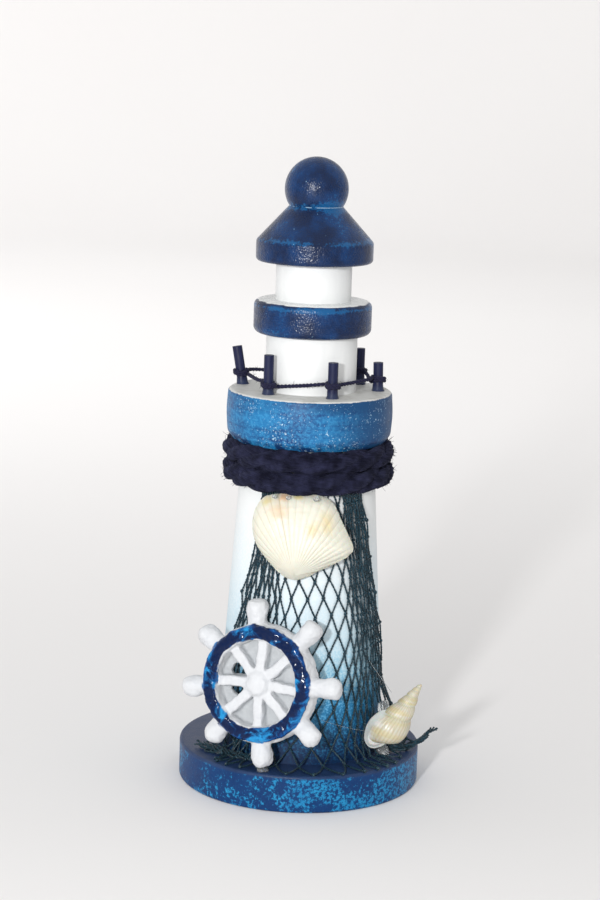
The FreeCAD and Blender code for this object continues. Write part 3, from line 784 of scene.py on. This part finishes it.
# the rolled ends: seven twines wound together, fraying at the tip
for tail, girth in ((rolled_left, 0.66 * mm), (rolled_right, 0.48 * mm)):
    middle = route("net_tail", [Vector((x * mm, y * mm, base_top + rise * mm)) for x, y, rise in tail])
    twines = laid_up(middle, twine_step, 6, girth, 9 * mm) + [evenly(middle, twine_step)[1]]
    for twine in twines:
        wave = np.arange(len(twine))[:, None] * np.array([[0.31, 0.23, 0.27]])
        twine = twine + np.sin(wave + random.uniform(0, 6)) * 0.16 * mm
        spare = random.randrange(0, 5)
        twine = twine[:len(twine) - spare]
        twine[:, 2] = np.maximum(twine[:, 2], net_floor)
        net_plies += laid_up(twine, twine_step, 2, ply_helix, twine_lay)
    tip = Vector(middle[-1])
    way = (tip - Vector(middle[-6])).normalized()
    for _ in range(5):
        stray = any_way() * 0.6
        fray = [tip - way * 1.2 * mm, tip + (way * 0.4 + stray * 0.7) * mm,
                tip + (way * 0.9 + stray * random.uniform(0.8, 1.6)) * mm]
        fray = np.array([(x, y, max(z, net_floor)) for x, y, z in fray])
        net_plies += laid_up(route("fray", fray), 0.4 * mm, 2, ply_helix, twine_lay)

net = drawn_out("fishing_net_twine", net_plies, ply_radius, 0)

net_ties = bmesh.new()
for (column, row), spot in net_knots.items():
    if (column + row) % 2 or not 0 < row:
        continue
    tie = bmesh.new()
    bmesh.ops.create_uvsphere(tie, u_segments=8, v_segments=5, radius=knot_radius)
    turn = Matrix.Rotation(random.uniform(0, 3), 4, "Z") @ Matrix.Rotation(random.uniform(0, 1), 4, "X")
    added(net_ties, tie, Matrix.Translation(spot + outward(0) * 0.04 * mm)
          @ turn @ Matrix.Diagonal((1, 0.75, 1.15, 1)))

net_twine, surface, place = finish_named("net_twine", 0.34, 0.35, Sheen_Weight=0.05)
strands = grain(place, 2600, 3)
coated(surface, blended(step_up(strands, 0.35, 0.65), tint(8, 30, 38), tint(30, 64, 78)))
bumped(surface, strands, 0.06 * mm)
net.data.materials.append(net_twine)
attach(net, "root")
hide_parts("fishing_net")
ties = finished("fishing_net_knots", net_ties, net_twine, "net_twine")


# ---- Cockle shell ----
# One valve of a natural cockle, beak down: ivory, ribbed, with growth lines
# and warmer patches along its upper edge. Hot glue holds it over the net.
cockle_rise = 20.6 * mm
cockle_depth = 7.2 * mm
cockle_wall = 0.7 * mm
cockle_ribs = 24
fan_turn = 0.8
dome_width = 7.8
growth_lines = (0.5, 0.68, 0.8, 0.88, 0.93, 0.97)
fan_from, fan_to = 8, 160
cockle_beak = (-1.6, -8.9)
cockle_margin = [(-12, 5.3), (-12.2, 1.2), (-10.9, -2.8), (-7.2, -7.2), (-3.8, -10.2), (-1.0, -10.8),
                 (1.8, -9.5), (6.2, -7.1), (11.3, -4.4), (12.5, -2.4), (11.4, 0), (8.7, 5.2),
                 (7.3, 8.4), (4.7, 10), (0.5, 10.6), (-5.3, 10.2), (-9.2, 9.6), (-10.8, 7.8)]


def set_on(yaw, lean, middle):
    """Across, up and out from the tower's front, as a matrix."""
    tilt = radians(lean)
    across = Vector((cos(radians(yaw)), sin(radians(yaw)), 0))
    out = outward(yaw) * cos(tilt) + Vector((0, 0, sin(tilt)))
    rise = out.cross(across)
    placed = Matrix((across, rise, out)).transposed().to_4x4()
    placed.translation = middle
    return placed


def beside_tower(azimuth, z, gap):
    return spot_at(azimuth, tower_radius(z) + gap, z)


margin = route("cockle_margin", [Vector((x, y, 0)) for x, y in cockle_margin], closed=True)[:, :2]
beak = np.array(cockle_beak)
margin_angles = np.degrees(np.arctan2(margin[:, 1] - beak[1], margin[:, 0] - beak[0]))
margin_order = np.argsort(margin_angles)
margin_reach = np.linalg.norm(margin - beak, axis=1)

cockle = turned([(share, 0) for share in 1 - (1 - np.linspace(0, 1, 42)) ** 1.25], 236, unit=1)
fan = cockle.verts.layers.float_vector.new("cockle_run")
for vertex in cockle.verts:
    out_share = min(1, vertex.co.length)
    turn = atan2(vertex.co.y, vertex.co.x) / (2 * pi) % 1
    fan_share = turn / fan_turn
    angle = fan_from + (fan_to - fan_from) * fan_share
    if turn > fan_turn:
        angle = fan_to + (360 - fan_to + fan_from) * (turn - fan_turn) / (1 - fan_turn)
    reach = np.interp((angle + 180) % 360 - 180, margin_angles[margin_order],
                      margin_reach[margin_order], period=360)
    rib = 0.0
    if turn < fan_turn:
        rib = abs(sin(pi * cockle_ribs * fan_share)) ** 0.5 - 0.7
    reach *= 1 + 0.004 * rib
    spot = beak + np.array([cos(radians(angle)), sin(radians(angle))]) * reach * out_share
    inside = np.linalg.norm(margin - spot, axis=1).min() if out_share < 1 else 0
    dome = sqrt(max(0, 1 - (1 - min(1, inside / dome_width)) ** 2)) ** 1.1
    ridge = 0.8 + 0.2 * exp(-((spot[0] + 0.9) ** 2 + (spot[1] + 3.2) ** 2) / 60)
    height = cockle_depth / mm * dome * ridge
    height += (0.5 - 0.28 * fan_share) * rib * out_share ** 0.75 * min(1, inside / 0.6)
    for line in growth_lines:
        wobble = 0.012 * noise.noise(Vector((cos(turn * 6.28) * 2, sin(turn * 6.28) * 2, line * 9)))
        height -= 0.12 * exp(-((out_share - line - wobble) / 0.013) ** 2)
    height += 0.12 * noise.noise(Vector((spot[0], spot[1], 0)) * 0.9)
    vertex[fan] = Vector((fan_share, out_share, rib))
    vertex.co = Vector((spot[0], spot[1], max(height, 0))) * mm
bmesh.ops.recalc_face_normals(cockle, faces=cockle.faces)
if sum(face.normal.z for face in cockle.faces) < 0:
    bmesh.ops.reverse_faces(cockle, faces=cockle.faces)
inside = bmesh.ops.duplicate(cockle, geom=cockle.verts[:] + cockle.edges[:] + cockle.faces[:])["geom"]
bmesh.ops.reverse_faces(cockle, faces=[item for item in inside if isinstance(item, bmesh.types.BMFace)])
for vertex in (item for item in inside if isinstance(item, bmesh.types.BMVert)):
    vertex.co.z = max(vertex.co.z - cockle_wall, 0)
bmesh.ops.remove_doubles(cockle, verts=cockle.verts, dist=0.002 * mm)
cockle_slope = degrees(atan((tower_foot - tower_head) / (tower_high.z - tower_low.z)))
cockle_place = set_on(-2.2, cockle_slope, beside_tower(-2.2, gallery_low.z - cockle_rise, 0.65 * mm))
bmesh.ops.transform(cockle, matrix=cockle_place, verts=cockle.verts)

cockle_shell, surface, place = finish_named("cockle_shell", 0.38, 0.4, Subsurface_Weight=0.12,
                                            Subsurface_Scale=0.002)
run = shade(surface, "ShaderNodeAttribute", attribute_name="cockle_run").outputs["Vector"]
patches = grain(run, 5, 3, 0.6, stretch=(1.6, 2.4, 0))
# Painted shade: the ivory is darker in the rib grooves, more so towards the far end of the fan.
groove_shade = step_up(minus(part_of(run, "Z"), times(part_of(run, "X"), 0.3)), -0.85, -0.25)
ivory = blended(groove_shade, tint(190, 181, 158), tint(223, 220, 205))
bands = step_up(grain(run, 14, 3, 0.6, stretch=(0.3, 1, 0)), 0.5, 0.75)
ivory = blended(times(bands, 0.35), ivory, tint(214, 203, 174))
# where round the fan each stain is, how far out, how wide, and its colour
cockle_stains = [(0.60, 0.97, 0.035, 224, 172, 128), (0.69, 0.95, 0.04, 216, 198, 134),
                 (0.53, 0.97, 0.03, 212, 193, 124), (0.64, 0.82, 0.09, 220, 194, 162),
                 (0.34, 0.8, 0.09, 218, 200, 150), (0.41, 0.62, 0.08, 218, 198, 152)]
for around, outwards, width, *colour in cockle_stains:
    away = shade(run, "ShaderNodeVectorMath", {0: run, 1: (around, outwards, 0)},
                 operation="SUBTRACT").outputs[0]
    ragged = plus(length_of(away, (1, 0.55, 0)), times(patches, 0.07))
    tinted_patch = step_up(ragged, 0.035, width + 0.035, 0.75, 0)
    ivory = blended(tinted_patch, ivory, tint(*colour))
coated(surface, ivory)
bumped(surface, plus(grain(place, 1500, 4, 0.6), grain(run, 40, 2, stretch=(0.4, 1, 0))), 0.08 * mm,
       0.6)
finished("cockle_valve", cockle, cockle_shell, "cockle_shell", "scallop_shell")


# ---- Ship's wheel ----
# A small wheel cast in resin in one piece, flat at the back: hub, eight
# spokes on a thin web, a raised rim and eight stubby handles. It is white,
# and its rim is painted by hand in glossy navy over bright blue.
wheel_back = -2.2 * mm
rim_section = [(10.4, -2.2), (14.4, -2.2), (14.45, 0.4), (14.1, 1.6), (13.95, 3.2), (13.3, 3.8),
               (11.1, 3.8), (10.5, 3.2)]
hub_section = [(0, -2.2), (3.4, -2.2), (3.2, 1.2), (2.9, 2.3), (2.2, 2.9), (0, 3.1)]
handle_section = [(0, -2.4), (3.0, -2.4), (2.6, -1.0), (2.35, 0.6), (2.35, 1.6), (2.65, 3.2),
                  (2.65, 4.6), (2.3, 5.6), (1.3, 6.3), (0, 6.4)]
# angle round the wheel and how far each handle reaches
wheel_handles = [(98.8, 20.3), (49.8, 20.9), (4.1, 21.1), (-36.4, 20.2), (-82.2, 20.1),
                 (-128.3, 19.6), (-169.6, 20.5), (147.4, 20.1)]
wheel_spokes = [88, 44, -2.5, -42.5, -84, -134, -177, 133]
web_windows = [(161.5, 6.6, 1.8), (199.5, 6.5, 1.75)]
web_thickness = 1.5 * mm
wheel_voxel = 0.26 * mm

wheel = bmesh.new()
added(wheel, turned(rim_section, 96, closed=True))
added(wheel, turned(hub_section, 32))
for angle, tip in wheel_handles:
    turn = Matrix.Rotation(radians(angle), 4, "Z")
    lie_down = Matrix.Rotation(pi / 2, 4, "Y")
    added(wheel, turned(handle_section, 24),
          turn @ Matrix.Translation(((tip - 6.4) * mm, 0, 0.15 * mm)) @ lie_down)
for angle in wheel_spokes:
    turn = Matrix.Rotation(radians(angle), 4, "Z")
    spoke = bmesh.new()
    bmesh.ops.create_cube(spoke, size=1)
    for vertex in spoke.verts:
        vertex.co.y *= 1.0 if vertex.co.z > 0 else 1.35
    added(wheel, spoke, turn @ Matrix.Translation((5.5 * mm, 0, -0.2 * mm))
          @ Matrix.Diagonal((11.0 * mm, 2.3 * mm, 4.4 * mm, 1)))
web = bmesh.new()
bmesh.ops.create_grid(web, x_segments=60, y_segments=60, size=11 * mm)
windows = [Vector((cos(radians(angle)), sin(radians(angle)), 0)) * distance * mm
           for angle, distance, radius in web_windows]
cut_out = []
for face in web.faces:
    middle = face.calc_center_median()
    in_window = any(Vector(((middle - window).x * 0.85, (middle - window).y, 0)).length < radius * mm
                    for window, (angle, distance, radius) in zip(windows, web_windows))
    if in_window or middle.length > 10.9 * mm:
        cut_out.append(face)
bmesh.ops.delete(web, geom=cut_out, context="FACES")
plate = bmesh.ops.extrude_face_region(web, geom=web.faces[:])
bmesh.ops.translate(web, vec=(0, 0, web_thickness),
                    verts=[item for item in plate["geom"] if isinstance(item, bmesh.types.BMVert)])
bmesh.ops.recalc_face_normals(web, faces=web.faces)
added(wheel, web, Matrix.Translation((0, 0, wheel_back)))

cast = in_scene("wheel_casting", bpy.data.meshes.new("wheel_casting"))
wheel.to_mesh(cast.data)
wheel.free()
skin = cast.modifiers.new("skin", "REMESH")
skin.mode = "VOXEL"
skin.voxel_size = wheel_voxel
soften = cast.modifiers.new("soften", "SMOOTH")
soften.factor = 0.5
soften.iterations = 7
moulded = bpy.data.meshes.new_from_object(cast.evaluated_get(bpy.context.evaluated_depsgraph_get()))
bpy.data.objects.remove(cast)
wheel = bmesh.new()
wheel.from_mesh(moulded)
for vertex in wheel.verts:
    vertex.co.z = max(vertex.co.z, wheel_back)
roughened(wheel, 0.34 * mm, 420)
roughened(wheel, 0.12 * mm, 1300, seed=4.0)
wheel_middle = beside_tower(-22.95, base_top + 20.78 * mm, 5.05 * mm)
wheel_place = set_on(-24, 9.6, wheel_middle)
bmesh.ops.transform(wheel, matrix=wheel_place, verts=wheel.verts)

wheel_resin, surface, place = finish_named("wheel_resin", shine=0.26)
flat = shade(place, "ShaderNodeMapping", {"Vector": place, "Location": wheel_middle[:],
                                          "Rotation": wheel_place.to_euler()[:]},
             vector_type="TEXTURE").outputs[0]
depth = part_of(flat, "Z")
from_hub = length_of(flat, (1, 1, 0))
waver = times(minus(grain(flat, 240, 3), 0.5), 2.4 * mm)
edge_at = plus(from_hub, waver)
painted = times(step_up(edge_at, 10.55 * mm, 10.8 * mm), step_up(edge_at, 14.3 * mm, 14.6 * mm, 1, 0))
painted = times(painted, step_up(plus(depth, waver), 2.2 * mm, 2.5 * mm))
daubs = grain(flat, 210, 5, 0.65, distortion=0.6)
streaks = grain(flat, 900, 4, 0.6)
to_edges = step_up(gap(from_hub, 12.1 * mm), 0.7 * mm, 1.9 * mm, 0, 0.13)
show_through = step_up(plus(plus(daubs, to_edges), times(streaks, 0.12)), 0.55, 0.72)
bright = blended(step_up(daubs, 0.5, 0.68), tint(4, 68, 132), tint(40, 140, 200))
rim_coat = blended(show_through, tint(0, 30, 66), bright)
# Painted shade: the low web between hub and rim is a darker, blotchy grey, standing in for the shade in
# the wheel's recesses.
shaded_recess = times(step_up(depth, -0.5 * mm, 1.3 * mm, 1, 0), step_up(from_hub, 3.2 * mm, 4.6 * mm))
shaded_recess = times(shaded_recess, step_up(from_hub, 10.8 * mm, 11.6 * mm, 1, 0))
painted_recess_shade = blended(grain(flat, 330, 3), tint(164, 168, 172), tint(200, 203, 205))
white = blended(shaded_recess, tint(207, 209, 212), painted_recess_shade)
coated(surface, blended(painted, white, rim_coat), step_up(painted, 0, 1, 0.5, 0.14, kind="LINEAR"))
bumped(surface, plus(grain(place, 1100, 3), times(painted, 0.8)), 0.14 * mm, 0.5)
finished("ships_wheel", wheel, wheel_resin, "wheel_resin", "ship_wheel")


# ---- Whelk ----
# A small natural whelk standing on its lip: rounded whorls with fine ribs
# that run up each whorl, cream with yellow bands and a thick white lip.
whelk_turns = 5.6
whelk_shrink = 0.655
whelk_steps_a_turn = 120
whelk_round = 34
whelk_ribs = 29
whelk_middle = Vector((21.84, -14.07, 15.95)) * mm
whelk_axis = Vector((0.5165, 0, 0.856))
whelk_tip = 15.7 * mm
body_off_axis = 2.0 * mm
body_wide = 2.95 * mm
body_tall = 4.3 * mm
lip_turn = -1.8

whelk = bmesh.new()
bmesh.ops.create_grid(whelk, x_segments=int(whelk_turns * whelk_steps_a_turn),
                      y_segments=whelk_round, size=1)
whorl = whelk.verts.layers.float_vector.new("whelk_run")
for vertex in whelk.verts:
    turns = (1 - vertex.co.x) / 2 * whelk_turns
    around = pi * vertex.co.y
    at_tip = turns > whelk_turns - 0.02
    shrunk = whelk_shrink ** turns
    size = shrunk * (0.05 if at_tip else 1)
    flare = 1 + 0.16 * exp(-(turns / 0.035) ** 2)
    ridge = 0.5 + 0.5 * cos(2 * pi * turns * whelk_ribs)
    ribbing = 1 + 0.03 * ridge * max(0, cos(around * 0.8)) * min(1, turns * 8)
    along_spire = min(1, turns / 0.8)
    bulge = copysign(abs(cos(around)) ** (1 - 0.45 * along_spire), cos(around))
    leaning = 0.3 * along_spire * body_tall * sin(around)
    spread = (body_off_axis + body_wide * flare * ribbing * bulge - leaning) * size
    rise = body_tall * shrunk * (0.9 if at_tip else flare * sin(around))
    sagging = -0.9 * mm * exp(-turns * 2.2) * (1 - sin(around)) / 2
    height = whelk_tip * (1 - shrunk) + rise + sagging
    angle = lip_turn + 2 * pi * turns
    vertex[whorl] = Vector((turns, around, ridge))
    vertex.co = Vector((cos(angle) * spread, sin(angle) * spread, height))
bmesh.ops.remove_doubles(whelk, verts=whelk.verts, dist=0.004 * mm)
bmesh.ops.holes_fill(whelk, edges=[edge for edge in whelk.edges if edge.is_boundary], sides=0)
bmesh.ops.recalc_face_normals(whelk, faces=whelk.faces)
mouth = max(whelk.faces, key=lambda face: face.calc_area())
for shrink, sink in ((0.22, 0.0), (0.5, 0.9), (0.8, 1.3)):
    bmesh.ops.inset_region(whelk, faces=[mouth], thickness=shrink * mm, depth=-sink * mm)
roughened(whelk, 0.14 * mm, 500)
whelk_axis.normalize()
whelk_front = Vector((0, -1, 0))
whelk_frame = Matrix((whelk_front, whelk_axis.cross(whelk_front), whelk_axis)).transposed().to_4x4()
whelk_frame.translation = whelk_middle
bmesh.ops.transform(whelk, matrix=whelk_frame, verts=whelk.verts)

whelk_shell, surface, place = finish_named("whelk_shell", 0.32, 0.45, Subsurface_Weight=0.15,
                                           Subsurface_Scale=0.002)
run = shade(surface, "ShaderNodeAttribute", attribute_name="whelk_run").outputs["Vector"]
yellowing = grain(run, 1.4, 3, stretch=(1, 1.2, 0))
cream = blended(step_up(yellowing, 0.42, 0.64), tint(200, 196, 181), tint(198, 188, 150))
# Painted shade: the cream is darker between the ribs.
ribs = step_up(part_of(run, "Z"), 0.15, 0.6)
cream = blended(ribs, blended(0.45, cream, tint(176, 162, 124)), cream)
lines = step_up(grain(run, 30, 2, stretch=(1, 0.05, 0)), 0.56, 0.64)
cream = blended(times(lines, 0.3), cream, tint(190, 172, 130))
lip = step_up(plus(part_of(run, "X"), times(yellowing, 0.2)), 0.17, 0.29, 1, 0)
coated(surface, blended(lip, cream, tint(232, 231, 226)))
bumped(surface, plus(grain(place, 1800, 3), lines), 0.08 * mm, 0.6)
finished("small_whelk", whelk, whelk_shell, "whelk_shell", "spiral_shell")


# ---- Hot glue ----
# Clear hot-melt glue: plugs behind the cockle and the wheel's hub, beads
# under the rope, blobs at the feet of the wheel and the whelk, and the thin
# hairs that a glue gun leaves.
hot_glue, surface, place = finish_named("hot_glue", 0.12, 0.5, IOR=1.48, Transmission_Weight=0.85)
cloudy = grain(place, 700, 3)
coated(surface, blended(cloudy, tint(222, 227, 228), tint(246, 248, 248)))
bumped(surface, cloudy, 0.08 * mm, 0.12)


def blobs(name, spots, *replaced):
    """Rounded drops of glue: where each is and its half sizes."""
    whole = bmesh.new()
    for i, (spot, sizes) in enumerate(spots):
        drop = bmesh.new()
        bmesh.ops.create_icosphere(drop, subdivisions=4, radius=1)
        for vertex in drop.verts:
            vertex.co *= 1 + 0.2 * noise.noise(vertex.co * 1.3 + Vector((i * 2.7, 0, 0)))
        added(whole, drop, Matrix.Translation(spot) @ Matrix.Diagonal((*(size * mm for size in sizes), 1)))
    return finished(name, whole, hot_glue, "hot_glue", *replaced)


rope_edge = rope_low.z + 0.1 * mm
bead_reach = rope_high.x + 0.1 * mm
blobs("cockle_glue", [
    (spot_at(-21, bead_reach, rope_edge), (0.62, 0.6, 0.55)),
    (spot_at(-12, bead_reach, rope_edge), (0.6, 0.6, 0.5)),
    (spot_at(6.2, bead_reach, rope_edge), (0.8, 0.7, 0.65)),
    (cockle_place @ Vector((-1 * mm, -1 * mm, 2.6 * mm)), (4.2, 2.6, 4.2))], "scallop_glue")
wheel_foot = wheel_place @ Vector((2.6 * mm, -19.2 * mm, 0))
blobs("wheel_glue_drops",
      [(wheel_place @ Vector((0, 0, -3.6 * mm)), (3.2, 2.0, 3.0)),
       (Vector((wheel_foot.x, wheel_foot.y + 0.6 * mm, base_top + 0.3 * mm)), (1.5, 1.5, 0.7))],
      "wheel_glue")
blobs("whelk_glue", [
    (Vector((20.8 * mm, -11.6 * mm, base_top + 1.1 * mm)), (1.8, 1.5, 1.5)),
    (Vector((20.6 * mm, -10.6 * mm, 21.0 * mm)), (1.6, 1.6, 1.9))], "spiral_shell_glue")

glue_threads = []
for start, stop, sag in (((15.9, -16.6, 16.9), (5.2, -24.4, 21.8), 0.6),
                         ((22.4, -10.5, 25.0), (15.8, -11.4, 34.3), 0.2),
                         ((19.0, -12.6, 17.6), (20.2, -10.9, 23.2), 0.3)):
    middle = (Vector(start) + Vector(stop)) / 2 - Vector((0, 0, sag))
    glue_threads.append(route("thread", [Vector(start) * mm, middle * mm, Vector(stop) * mm]))
threads = drawn_out("glue_threads", glue_threads, 0.05 * mm, 0)
threads.data.materials.append(hot_glue)
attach(threads, "root")


# ---- Floor and lights ----
# A plain pale floor, one bright light left of the camera and soft light all
# round.
cove_section = [(0, 0), (0.7, 0), (1.4, 0)]
for k in range(1, 13):
    angle = pi / 2 * k / 12
    cove_section.append((1.4 + 0.5 * sin(angle), 0.5 * (1 - cos(angle))))
cove = turned(cove_section, 64, unit=1)
floor_white, surface, place = finish_named("floor_white", 0.8, 0.15)
coated(surface, blended(grain(place, 3, 2), (0.85, 0.83, 0.82, 1), (0.88, 0.865, 0.855, 1)))
floor = smooth_object("paper_sweep", cove, floor_white)


def lamp(name, place_at, aim, size, power):
    """A square soft light that faces a point."""
    light = bpy.data.lights.new(name, "AREA")
    light.size = size
    light.energy = power
    holder = in_scene(name, light)
    holder.location = place_at
    holder.rotation_mode = "QUATERNION"
    holder.rotation_quaternion = (Vector(place_at) - Vector(aim)).to_track_quat("Z", "Y")
    return holder


lamp("key_light", (-0.176, -0.682, 0.25), (0, 0, 0.08), 0.045, 3.5)
lamp("backdrop_light", (-0.5, 0.5, 1.0), (-0.6, 1.9, 0.2), 0.9, 9.0)
world = bpy.data.worlds.new("white_room")
bpy.context.scene.world = world
world.use_nodes = True
world.node_tree.nodes["Background"].inputs["Color"].default_value = (0.99, 0.995, 1.0, 1)
world.node_tree.nodes["Background"].inputs["Strength"].default_value = 0.72
